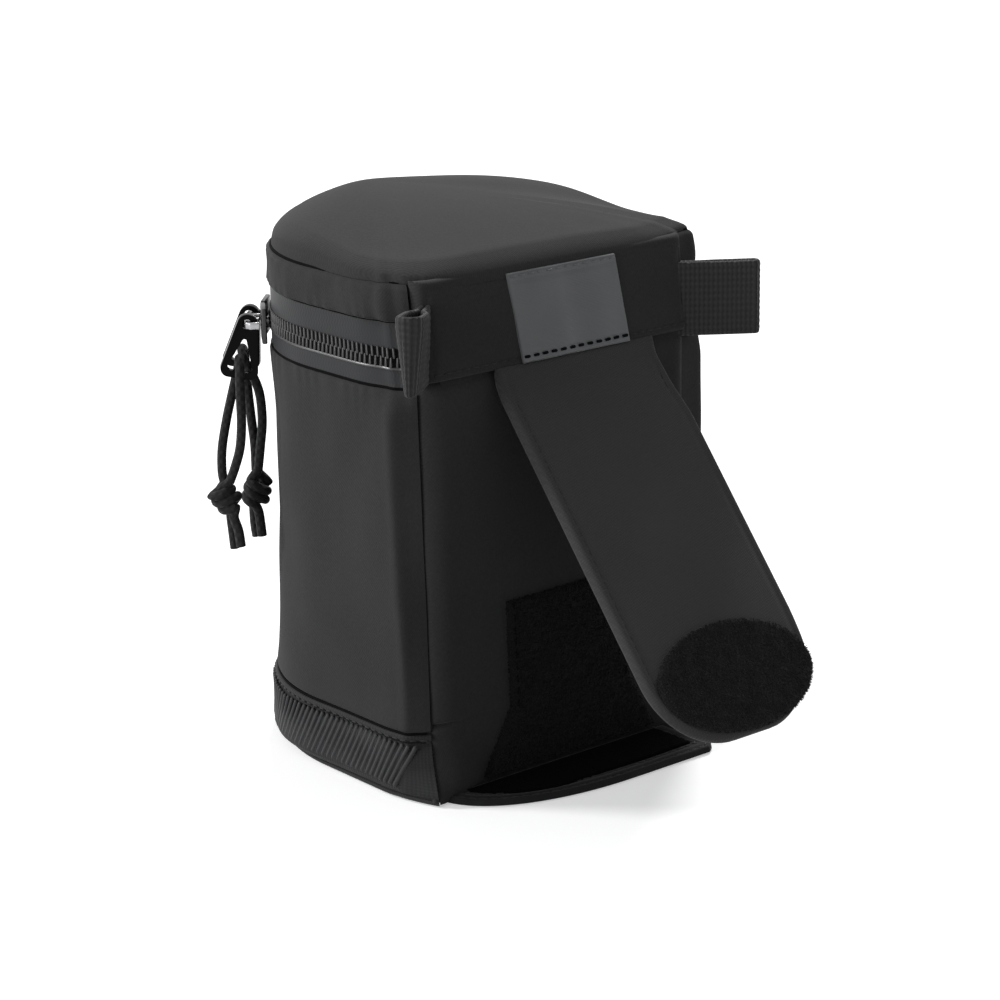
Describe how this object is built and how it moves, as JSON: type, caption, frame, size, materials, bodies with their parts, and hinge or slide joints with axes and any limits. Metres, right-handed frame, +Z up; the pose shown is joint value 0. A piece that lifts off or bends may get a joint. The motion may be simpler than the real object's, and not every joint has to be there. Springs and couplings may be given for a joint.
{
  "type": "lens pouch",
  "caption": "D-shaped padded lens pouch with a domed zip lid hinged at the back, a belt strap with a pile tip, a tuck flap, webbing side loops and knotted cord zip pulls.",
  "frame": {"origin": "middle of the base, on the surface that the pouch stands on", "axes": "+Z up, the belt side with strap and label faces +Y, the half-round front faces -Y"},
  "size_m": [0.1178, 0.1547, 0.1416],
  "materials": {
    "cloth": "matt coated twill, charcoal",
    "ribbed_cloth": "heavy slanted rib, black",
    "lining": "smooth knit, dark grey",
    "foam": "closed-cell foam, stood in for by fabric",
    "pile": "hook and loop pile, black",
    "webbing": "ribbed webbing and zip tape, black",
    "label": "bare satin, grey",
    "coil": "moulded coil, black",
    "metal": "black lacquered zip slider",
    "pull": "glossy black",
    "cord": "round braided cord, black"
  },
  "bodies": {
    "pouch_body": {"base_panel": "ribbed_cloth", "base_foam": "foam", "base_lining": "lining", "base_band": "ribbed_cloth", "base_band_edge": "cloth", "wrap_panel": "cloth", "wall_foam": "foam", "wall_lining": "lining", "mouth_binding": "lining", "back_panel": "cloth", "back_foam": "foam", "back_lining": "lining", "back_mouth_binding": "lining", "rear_piping_left": "cloth", "rear_piping_right": "cloth", "loop_panel": "pile", "zip_tape_lower": "webbing", "zip_coil_lower": "coil", "strap_tab": "cloth", "flap_hem": "cloth"},
    "lid": {"zip_tape_upper": "webbing", "zip_coil_upper": "coil", "lid_gusset": "cloth", "lid_gusset_foam": "foam", "lid_gusset_lining": "lining", "lid_lining": "lining", "lid_top_panel": "cloth", "lid_foam": "foam", "back_band": "cloth", "back_band_foam": "foam", "back_band_lining": "lining", "label": "label", "webbing_loop_left": "webbing", "webbing_loop_right": "webbing"},
    "strap": {"strap_lining": "lining", "strap_foam": "foam", "strap_face": "cloth", "strap_binding": "cloth", "oval_loop_pad": "pile", "strap_hook_pad": "pile"},
    "flap": {"tuck_flap": "cloth", "flap_hook_strip": "pile"},
    "slider_left": {"slider_body_left": "metal", "slider_bail_left": "metal"},
    "pull_left": {"pull_frame_left": "pull", "pull_cord_left": "cord", "pull_knot_left": "cord"},
    "slider_right": {"slider_body_right": "metal", "slider_bail_right": "metal"},
    "pull_right": {"pull_frame_right": "pull", "pull_cord_right": "cord", "pull_knot_right": "cord"}
  },
  "joints": [
    {"name": "lid_hinge", "type": "hinge", "parent": "pouch_body", "child": "lid", "pos_m": [0, 0.047, 0.102], "axis": [-1, 0, 0], "range_deg": [0, 100]},
    {"name": "strap_hinge", "type": "hinge", "parent": "pouch_body", "child": "strap", "pos_m": [-0.0018, 0.04705, 0.097], "axis": [1, 0, 0], "range_deg": [-39, 31]},
    {"name": "flap_hinge", "type": "hinge", "parent": "pouch_body", "child": "flap", "pos_m": [0.003, 0.05405, 0.0018], "axis": [1, 0, 0], "range_deg": [0, 90]},
    {"name": "slider_left_travel", "type": "hinge", "parent": "pouch_body", "child": "slider_left", "pos_m": [0, 0.00575, 0.1089], "axis": [0, 0, 1], "range_deg": [0, 31]},
    {"name": "slider_right_travel", "type": "hinge", "parent": "pouch_body", "child": "slider_right", "pos_m": [0, 0.00575, 0.1089], "axis": [0, 0, 1], "range_deg": [-133, 0]},
    {"name": "pull_left_swing", "type": "hinge", "parent": "slider_left", "child": "pull_left", "pos_m": [0.04595, -0.02466, 0.1089], "axis": [-0.5519, -0.8339, 0], "range_deg": [0, 95]},
    {"name": "pull_right_swing", "type": "hinge", "parent": "slider_right", "child": "pull_right", "pos_m": [0.0393, -0.03287, 0.1089], "axis": [-0.7009, -0.7132, 0], "range_deg": [0, 95]}
  ]
}
